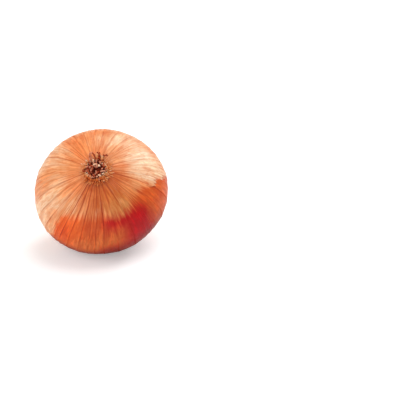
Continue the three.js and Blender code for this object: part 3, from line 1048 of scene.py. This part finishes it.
# %% Torn skin round the root plate
FRINGE = (  # count, arc in degrees, start radius, length, width, lean, curl, tone
    (40, (-30, 230), (6.7, 7.2), (1.2, 2.6), (0.7, 1.4), (-1.3, -0.4), (-0.4, 0.3), (0.6, 1.1)),
    (20, (225, 330), (6.7, 7.2), (1.4, 2.8), (0.7, 1.4), (-1.3, -0.4), (-0.3, 0.3), (0.05, 0.55)),
    (28, (-50, 200), (6.7, 7.4), (1.0, 2.0), (0.4, 0.9), (0.5, 1.2), (0.0, 0.6), (0.6, 1.1)),
    (14, (205, 315), (6.7, 7.4), (1.0, 2.0), (0.4, 0.9), (0.5, 1.2), (0.0, 0.6), (0.2, 0.8)),
    (28, (222, 322), (6.8, 8.4), (1.2, 2.6), (0.3, 0.6), (1.2, 1.5), (-0.1, 0.2), (0.0, 0.65)),
    (22, (-40, 52), (6.8, 8.4), (1.2, 2.6), (0.3, 0.7), (1.1, 1.5), (-0.1, 0.3), (0.6, 0.95)),
    (14, (150, 216), (6.8, 8.0), (1.0, 2.2), (0.3, 0.7), (1.1, 1.5), (-0.1, 0.3), (0.7, 1.05)),
    (4, (64, 96), (6.7, 7.2), (3.0, 3.8), (2.0, 2.8), (0.5, 0.9), (0.1, 0.4), (0.7, 1.0)),
)
RIM_SLOPE = 0.15  # how the skin falls away outside the rim
FRINGE_LIFT = 0.08
FRINGE_SCATTER = 0.8  # how far a shred strays from its place, in places
FRINGE_TWIST = 0.5
FRINGE_THICKNESS = 0.1


def place_in(span, index, count, stray):
    """Shares a span out among a group: the place of one of them, moved by a stray."""
    return span[0] + (span[1] - span[0]) * (index + stray) / count


fringe_luck = random.Random(23)
shreds = []
fringe_tones = []
for count, arc, radii, lengths, widths, leans, curls, tones in FRINGE:
    for index in range(count):
        start = fringe_luck.uniform(*radii)
        stray = fringe_luck.uniform(-FRINGE_SCATTER, FRINGE_SCATTER)
        shreds.append(shred(
            fringe_luck,
            angle=math.radians(place_in(arc, index, count, stray)),
            start_radius=start,
            start_height=rim_height + FRINGE_LIFT - RIM_SLOPE * (start - RIM_RADIUS),
            length=fringe_luck.uniform(*lengths),
            width=fringe_luck.uniform(*widths),
            lean=fringe_luck.uniform(*leans),
            curl=fringe_luck.uniform(*curls),
            twist=fringe_luck.uniform(-FRINGE_TWIST, FRINGE_TWIST),
        ))
        fringe_tones += [fringe_luck.uniform(*tones)] * len(shreds[-1])
collar_points, collar_faces, collar_stored = shred_mesh(shreds)
collar = make_piece("torn_collar", collar_points, collar_faces)
write_run(collar, collar_stored)
write_tone(collar, fringe_tones)
thicken(collar, FRINGE_THICKNESS)
print("shreds:", len(shreds))

# %% [markdown]
# ## The finish of torn skin
# A torn edge shows the fibres of the skin and is matt, browner at its foot and bleached at its tip. One
# colour for all would make the fringe a solid ring, so each shred carries a tone of its own, which a
# colour ramp turns into one of the tones of the skin.

# %% Finish of the torn skin
TORN_BLEACH = 0.35  # how far a shred goes up the ramp from its foot to its tip
TORN_OWN = 0.65  # how much its own tone counts
TORN_TONES = ((0.0, RUST), (0.25, COPPER), (0.6, APRICOT), (0.85, PEACH), (1, CREAM))
TORN_STREAKS = 0.3
TORN_ROUGHNESS = (0.5, 0.7)
DRY_SPECULAR = 0.1

torn_finish, torn_tree, torn_shader, torn_around, torn_run = new_finish("torn_skin")
along_torn = {"Around": torn_around, "Run": torn_run}
torn_fibres = place_group(torn_tree, fibre_group, **along_torn, Count=500, Stretch=1.5)[0]
torn_blotches = place_group(torn_tree, blotch_group, Size=3)
torn_tone = maths(torn_tree, "MULTIPLY", read_tone(torn_tree), TORN_OWN)
torn_tone = maths(torn_tree, "MULTIPLY_ADD", torn_run, TORN_BLEACH, torn_tone)
torn_streaks = maths(torn_tree, "MULTIPLY", torn_fibres, TORN_STREAKS)
torn_colour = blend(torn_tree, torn_streaks, ramp(torn_tree, torn_tone, TORN_TONES), TAN)
plug(torn_tree, torn_colour, torn_shader["Base Color"])
roughen(torn_tree, torn_shader, torn_blotches["Specks"], *TORN_ROUGHNESS)
torn_shader["Specular IOR Level"].default_value = DRY_SPECULAR
add_bump(torn_tree, torn_shader, torn_fibres, strength=0.4, distance_mm=0.1)
collar.data.materials.append(torn_finish)
print("finish:", torn_finish.name)

# %% [markdown]
# ## Loose paper
# Where the outer paper is torn its edge comes away from the bulb in flaps, each between two tears that
# follow the veins, and near the neck a few more have split off. A flap is a small grid laid on the skin:
# it starts under it, lifts more and more and ends raggedly. It carries the numbers of the skin it tore
# from, so the same material paints it, and no seam shows where it leaves the bulb.

# %% Places over the skin
FLAPS = (  # count, veins, run of the tips or None for the paper's end, reach in run, width, lift
    (6, (-0.6, 3.6), None, (0.14, 0.24), (0.6, 2.0), (0.1, 0.6)),
    (7, (8, 22), (1.7, 1.86), (0.1, 0.2), (0.6, 1.2), (0.4, 1.0)),
)
FLAP_LAST = 1.7  # run


def on_skin(vein, run, lift):
    """A point over the skin."""
    radius, height = outline(run)
    angle = leaning(vein_angle(vein), run)
    radius = radius + swelling(angle, height) + lift
    return radius * math.cos(angle), radius * math.sin(angle) + neck_bend(height), height


def paper_end_at(vein):
    """The run where the outer paper ends, or the last that a flap may reach."""
    angles, ends = zip(*PAPER_ENDS)
    end = np.interp(math.degrees(vein_angle(vein)) % 360, angles, ends)
    return min(float(end), FLAP_LAST)


print("flaps to make:", sum(group[0] for group in FLAPS))

# %% Flaps of loose paper
FLAP_ROWS = 9
FLAP_COLUMNS = 9
FLAP_START = -0.4  # millimetres over the skin
FLAP_HELD = 0.85  # the share of its reach that lies before the paper's end
FLAP_CURL = 1.5  # the power with which it lifts towards its tip
FLAP_SLANT = 0.5
FLAP_RAGGED = 0.035  # run
FLAP_TAPER = 0.25
FLAP_THICKNESS = 0.12
FLAP_INSIDE = 0.12  # how far inside the paper's end its colours are taken, in run


def flap(luck, vein, tip, reach, width, lift):
    """Points of one flap, and the numbers around and run of each."""
    slant = luck.uniform(-FLAP_SLANT, FLAP_SLANT)
    ragged = [luck.uniform(-FLAP_RAGGED, FLAP_RAGGED) for _ in range(FLAP_COLUMNS)]
    points = []
    numbers = []
    for row in range(FLAP_ROWS):
        share = row / (FLAP_ROWS - 1)
        for column in range(FLAP_COLUMNS):
            side = column / (FLAP_COLUMNS - 1) - 0.5
            run = tip + reach * (share - FLAP_HELD) + ragged[column] * share
            at = vein + side * width * (1 - FLAP_TAPER * share**3)
            over = FLAP_START + (lift * (1 + slant * side) - FLAP_START) * share**FLAP_CURL
            points.append(on_skin(at, run, over))
            numbers.append((at / VEINS, min(run, tip - FLAP_INSIDE)))
    return points, numbers


flap_luck = random.Random(31)
flap_points = []
flap_faces = []
flap_stored = []
for count, veins, tips, reaches, widths, lifts in FLAPS:
    for index in range(count):
        vein = place_in(veins, index, count, flap_luck.random())
        tip = flap_luck.uniform(*tips) if tips else paper_end_at(vein)
        reach = flap_luck.uniform(*reaches)
        width = flap_luck.uniform(*widths)
        points, numbers = flap(flap_luck, vein, tip, reach, width, flap_luck.uniform(*lifts))
        faces = grid_faces(FLAP_ROWS, FLAP_COLUMNS)
        flap_faces += shifted(faces, len(flap_points))
        flap_points += points
        flap_stored += [numbers[corner] for face in faces for corner in face]
loose_paper = make_piece("loose_paper", flap_points, flap_faces)
write_run(loose_paper, flap_stored)
thicken(loose_paper, FLAP_THICKNESS)
loose_paper.data.materials.append(skin_finish)
print("flap faces:", len(loose_paper.data.polygons))

# %% [markdown]
# ## The root plate and the dry roots
# Under the roots is a corky plate, dark and hollow in the middle. From it grow many roots that were
# trimmed short and have dried to stubs and wiry curls. A few long ones are bent back over the skin. A
# particle system could scatter them, but then each would be the same hair, so we walk every root step
# by step with its own heading, which lets it curl, and wrap a tube round the walk.

# %% The corky root plate
PLATE_RADIUS = 6.3
PLATE_BOTTOM = rim_height - 2.1
PLATE_TOP = PLATE_BOTTOM + 2.4
PLATE_ROWS = 18
PLATE_COLUMNS = 60
PLATE_MIDDLE = 0.02  # the last row, as a share of the radius
PLATE_LUMP = 0.35
PLATE_LUMP_SIZE = 0.9
LUMPS_CALM = 3  # the lumps are whole from a third of the radius on
PLATE_SHOULDER = 0.9  # how far the edge is rounded down
SHOULDER_START = 0.8  # of the radius
SHOULDER_WIDTH = 0.2
PLATE_HOLLOW = 1.5
HOLLOW_SHARE = 0.42  # of the radius
HOLLOW_CURVE = 1.5

plate_turns = np.arange(PLATE_COLUMNS) / PLATE_COLUMNS * 2 * math.pi


def plate_row(share, height):
    """A ring of the plate at a share of its radius."""
    across = PLATE_RADIUS * share * np.cos(plate_turns)
    beside = PLATE_RADIUS * share * np.sin(plate_turns)
    return np.stack([across, beside, np.full(PLATE_COLUMNS, height)], axis=1)


plate_rows = [plate_row(1, PLATE_BOTTOM)]
for share in np.linspace(1, PLATE_MIDDLE, PLATE_ROWS):
    shoulder = PLATE_SHOULDER * max(0, (share - SHOULDER_START) / SHOULDER_WIDTH) ** 2
    hollow = PLATE_HOLLOW * max(0, 1 - share / HOLLOW_SHARE) ** HOLLOW_CURVE
    row = plate_row(share, PLATE_TOP - shoulder - hollow)
    row[:, 2] += PLATE_LUMP * cloud(row, PLATE_LUMP_SIZE) * min(1, share * LUMPS_CALM)
    plate_rows.append(row)
plate_faces = tube_faces(len(plate_rows), PLATE_COLUMNS)
plate = make_piece("root_plate", np.concatenate(plate_rows), plate_faces, ["root_tuft"])
print("plate faces:", len(plate.data.polygons))

# %% Tubes for the roots
ROOT_SIDES = 6
FIRST_SIDE = (1.0, 0.3, 0.2)  # any direction that no root follows


def tube(path, radii):
    """Rings of points round a path, and the faces between them, closed at both ends."""
    path = np.asarray(path)
    rings = []
    side = np.array(FIRST_SIDE)
    for index, centre in enumerate(path):
        ahead = path[min(index + 1, len(path) - 1)] - path[max(index - 1, 0)]
        ahead = ahead / np.linalg.norm(ahead)
        side = side - ahead * side.dot(ahead)
        side = side / np.linalg.norm(side)
        other = np.cross(ahead, side)
        for corner in range(ROOT_SIDES):
            turn = 2 * math.pi * corner / ROOT_SIDES
            rings.append(centre + radii[index] * (side * math.cos(turn) + other * math.sin(turn)))
    return np.array(rings), tube_faces(len(path), ROOT_SIDES)


print("root sides:", ROOT_SIDES)

# %% The way a root grows
ROOT_STEPS = 9
ROOT_RESTLESS = 0.35  # how quickly a root changes the way it curls
ROOT_CLEARANCE = 0.35


def walk(luck, start, heading, length, curl):
    """A path that keeps turning, more and more towards its end."""
    place = np.array(start, float)
    heading = np.array(heading, float)
    heading = heading / np.linalg.norm(heading)
    axis = np.array([luck.gauss(0, 1) for _ in range(3)])
    path = [place]
    for step in range(ROOT_STEPS):
        axis = axis + ROOT_RESTLESS * np.array([luck.gauss(0, 1) for _ in range(3)])
        axis = axis / np.linalg.norm(axis)
        heading = heading + np.cross(axis, heading) * curl * 2 * (step + 1) / ROOT_STEPS
        heading = heading / np.linalg.norm(heading)
        place = place + heading * length / ROOT_STEPS
        path.append(place)
    return path


def above_skin(path):
    """Lifts the points of a path that would dip into the skin."""
    path = np.array(path)
    radius = np.minimum(np.hypot(path[:, 0], path[:, 1]), BULB_RADIUS)
    lowest = ROOT_POLE * np.sqrt(1 - (radius / BULB_RADIUS) ** 2) + ROOT_CLEARANCE
    outside = radius > RIM_RADIUS
    path[outside, 2] = np.maximum(path[outside, 2], lowest[outside])
    return path


print("steps to a root:", ROOT_STEPS)

# %% Grow the dry roots
EVERYWHERE = (0, 360)
ROOT_GROUPS = (  # count, base radius, arc in degrees, lean out, length, thickness, curl, tone
    (5, (1.6, 2.2), (40, 330), 0.3, (2.2, 3.0), (1.1, 1.5), 0.22, (0.1, 0.55)),
    (5, (2.8, 3.6), (-70, 110), 0.3, (2.6, 3.8), (1.2, 1.6), 0.24, (0.2, 1.15)),
    (5, (2.8, 3.8), (115, 280), 0.3, (2.6, 3.8), (1.2, 1.6), 0.24, (0.0, 0.55)),
    (8, (4.2, 5.0), (-60, 120), 0.4, (2.4, 3.6), (1.1, 1.5), 0.26, (0.25, 1.2)),
    (6, (4.2, 5.0), (130, 225), 0.4, (2.4, 3.6), (1.2, 1.6), 0.26, (0.0, 0.5)),
    (5, (4.2, 5.2), (228, 300), 0.4, (2.0, 3.2), (1.2, 1.6), 0.26, (0.42, 0.8)),
    (8, (2.0, 5.3), EVERYWHERE, 0.4, (2.0, 3.2), (0.5, 0.7), 0.25, (0.2, 0.9)),
    (8, (4.8, 5.6), (-50, 60), 1.1, (1.8, 3.0), (0.5, 0.7), 0.3, (0.6, 0.9)),
    (5, (5.2, 5.6), (70, 92), 1.6, (6.2, 7.6), (0.8, 1.2), 0.16, (0.0, 0.15)),
    (1, (5.2, 5.6), (58, 62), 1.5, (5.6, 5.8), (0.8, 1.0), 0.1, (0.0, 0.1)),
    (4, (5.2, 5.6), (108, 128), 1.6, (6.0, 7.4), (0.6, 0.9), 0.16, (0.45, 0.6)),
)
ROOT_OVAL = np.array([1.0, 0.94, 1.0])  # the trimmed roots stand in an oval
ROOT_OFFSET = 0.2  # a little above the middle of the plate
ROOT_SUNK = 0.6  # how deep the roots start in the plate
ROOT_LEANING = 0.3  # how much more or less than its group a root leans out
ROOT_ASIDE = 0.6  # and how much it leans aside
ROOT_TAPER = 0.4
ROOT_KNOBBLE = (0.8, 1.15)

root_luck = random.Random(77)
root_points = []
root_faces = []
root_tones = []
for count, bases, arc, lean, lengths, widths, curl, tones in ROOT_GROUPS:
    for index in range(count):
        angle = math.radians(place_in(arc, index, count, root_luck.random()))
        out = np.array([math.cos(angle), math.sin(angle), 0])
        beside = np.array([-math.sin(angle), math.cos(angle), 0])
        heading = out * (lean + root_luck.uniform(-ROOT_LEANING, ROOT_LEANING)) + (0, 0, 1)
        heading = heading + beside * root_luck.uniform(-ROOT_ASIDE, ROOT_ASIDE)
        start = out * ROOT_OVAL * root_luck.uniform(*bases) + (0, ROOT_OFFSET, PLATE_TOP - ROOT_SUNK)
        path = above_skin(walk(root_luck, start, heading, root_luck.uniform(*lengths), curl))
        thick = root_luck.uniform(*widths) / 2
        radii = [
            thick * (1 - ROOT_TAPER * step / ROOT_STEPS) * root_luck.uniform(*ROOT_KNOBBLE)
            for step in range(len(path))
        ]
        rings, faces = tube(path, radii)
        root_faces += shifted(faces, len(root_points))
        root_points += list(rings)
        root_tones += [root_luck.uniform(*tones)] * len(rings)
roots = make_piece("dry_roots", root_points, root_faces)
write_tone(roots, root_tones)
print("roots:", sum(group[0] for group in ROOT_GROUPS))

# %% [markdown]
# ## The finish of roots and plate
# Dry root is matt and mottled. Some roots are nearly black-red, some bleached to the colour of straw, and
# that mix of dark and pale is what makes the tuft look rough. Each root has its own stored tone, blotches
# shift it a little along the root, and one colour ramp does the rest. The plate uses the same recipe with
# a darker ramp.

# %% Finish of the roots and the plate
ROOT_OWN = 0.7  # how much a root's own tone counts
ROOT_MOTTLE = 0.3  # and how much the blotches do
ROOT_ROUGHNESS = (0.75, 0.95)
ROOT_TONES = (
    (0.1, colour(114, 24, 12)),
    (0.33, colour(180, 78, 46)),
    (0.58, colour(224, 148, 118)),
    (0.8, colour(248, 188, 148)),
    (0.95, colour(255, 224, 190)),
)
PLATE_TONES = ((0.0, colour(58, 14, 6)), (0.3, colour(128, 48, 24)))


def dry_root_finish(name, tones, blotch_size):
    """Brown, matt and fibrous, from dark to light by each root's own tone."""
    material, tree, shader = new_material(name)
    blotches = place_group(tree, blotch_group, Size=blotch_size)
    mottled = maths(tree, "MULTIPLY", read_tone(tree), ROOT_OWN)
    mottled = maths(tree, "MULTIPLY_ADD", blotches["Blotches"], ROOT_MOTTLE, mottled)
    plug(tree, ramp(tree, mottled, tones), shader["Base Color"])
    roughen(tree, shader, blotches["Specks"], *ROOT_ROUGHNESS)
    shader["Specular IOR Level"].default_value = DRY_SPECULAR
    add_bump(tree, shader, blotches["Specks"], strength=0.6, distance_mm=0.15)
    return material


roots.data.materials.append(dry_root_finish("dry_root", ROOT_TONES, blotch_size=1.2))
plate.data.materials.append(dry_root_finish("corky_plate", PLATE_TONES, blotch_size=0.8))
print("finishes:", roots.data.materials[0].name, plate.data.materials[0].name)

# %% [markdown]
# ## The neck
# At the other end the leaves died back to a short neck. Its outer skin is torn into strips, and the ends
# of the inner leaves stand in its mouth. Both are thin ragged blades bent with the neck, so the shred
# from the root end serves again, with the growth turned the other way.

# %% A ring of blades at the neck
BLADE_THICKNESS = 0.15
BLADE_SCATTER = 0.3  # how far a blade strays from its place, in places
BLADE_RADII = (0.92, 1.04)  # of the ring's radius
BLADE_WIDTHS = (0.7, 1.2)  # of the given width
BLADE_CURLS = (-0.3, 0.35)
BLADE_TWIST = 0.3
BLADE_TONES = (0.2, 0.9)


def neck_blades(name, seed, count, radius, foot, lengths, width, leans, replaced=()):
    """A ring of ragged blades round the neck's axis, in one mesh."""
    luck = random.Random(seed)
    blades = []
    tones = []
    for index in range(count):
        blade = shred(
            luck,
            angle=2 * math.pi * (index + luck.uniform(-BLADE_SCATTER, BLADE_SCATTER)) / count,
            start_radius=radius * luck.uniform(*BLADE_RADII),
            start_height=0,
            length=luck.uniform(*lengths),
            width=width * luck.uniform(*BLADE_WIDTHS),
            lean=luck.uniform(*leans),
            curl=luck.uniform(*BLADE_CURLS),
            twist=luck.uniform(-BLADE_TWIST, BLADE_TWIST),
        )
        blade[:, 2] = foot - blade[:, 2]
        blade[:, 1] += neck_bend(blade[:, 2])
        blades.append(blade)
        tones += [luck.uniform(*BLADE_TONES)] * len(blade)
    points, faces, stored = shred_mesh(blades)
    piece = make_piece(name, points, faces, replaced)
    write_run(piece, stored)
    write_tone(piece, tones)
    thicken(piece, BLADE_THICKNESS)
    return piece


print("points to a blade:", SHRED_ROWS * SHRED_COLUMNS)

# %% Torn strips and dry leaf ends
neck_strips = neck_blades(
    "neck_strips", seed=5, count=16, radius=5.2, foot=-37.5, lengths=(2.4, 4.2), width=2.4,
    leans=(-0.2, 0.1),
)
neck_strips.data.materials.append(torn_finish)
leaf_ends = neck_blades(
    "leaf_ends", seed=9, count=9, radius=2.4, foot=-36.4, lengths=(4.0, 6.2), width=2.8,
    leans=(-0.15, 0.25), replaced=["neck_leaves"],
)
print("blade faces:", len(neck_strips.data.polygons), len(leaf_ends.data.polygons))

# %% [markdown]
# ## The finish of dry leaves
# The ends of the inner leaves are straw that has dried from the tip down, so they darken towards the tip.
# The strips beside them are skin and have the finish of torn skin; these get a ramp of their own, with
# coarse fibres as streaks and bump.

# %% Finish of the leaf ends
LEAF_TONES = ((0.0, colour(140, 88, 50)), (0.8, colour(214, 168, 112)))
LEAF_STREAK = colour(120, 74, 42)
LEAF_DARKENS = -0.3  # how far a leaf goes down the ramp from its foot to its tip
LEAF_STREAKS = 0.5
LEAF_ROUGHNESS = (0.65, 0.85)

leaf_finish, leaf_tree, leaf_shader, leaf_around, leaf_run = new_finish("dry_leaf")
along_leaf = {"Around": leaf_around, "Run": leaf_run}
leaf_fibres = place_group(leaf_tree, fibre_group, **along_leaf, Count=160, Stretch=1.2)[0]
leaf_blotches = place_group(leaf_tree, blotch_group, Size=2.5)
leaf_tone = maths(leaf_tree, "MULTIPLY_ADD", leaf_run, LEAF_DARKENS, read_tone(leaf_tree))
leaf_streaks = maths(leaf_tree, "MULTIPLY", leaf_fibres, LEAF_STREAKS)
leaf_colour = blend(leaf_tree, leaf_streaks, ramp(leaf_tree, leaf_tone, LEAF_TONES), LEAF_STREAK)
plug(leaf_tree, leaf_colour, leaf_shader["Base Color"])
roughen(leaf_tree, leaf_shader, leaf_blotches["Specks"], *LEAF_ROUGHNESS)
add_bump(leaf_tree, leaf_shader, leaf_fibres, strength=0.5, distance_mm=0.15)
leaf_ends.data.materials.append(leaf_finish)
print("finish:", leaf_finish.name)

# %% [markdown]
# ## Size
# The box of the dressed onion is printed in millimetres. The dressed onion must be no bigger than
# its solids.

bpy.context.view_layer.update()
low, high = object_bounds()
print("visual box in millimetres:", [round(1000 * (b - a), 1) for a, b in zip(low, high)])
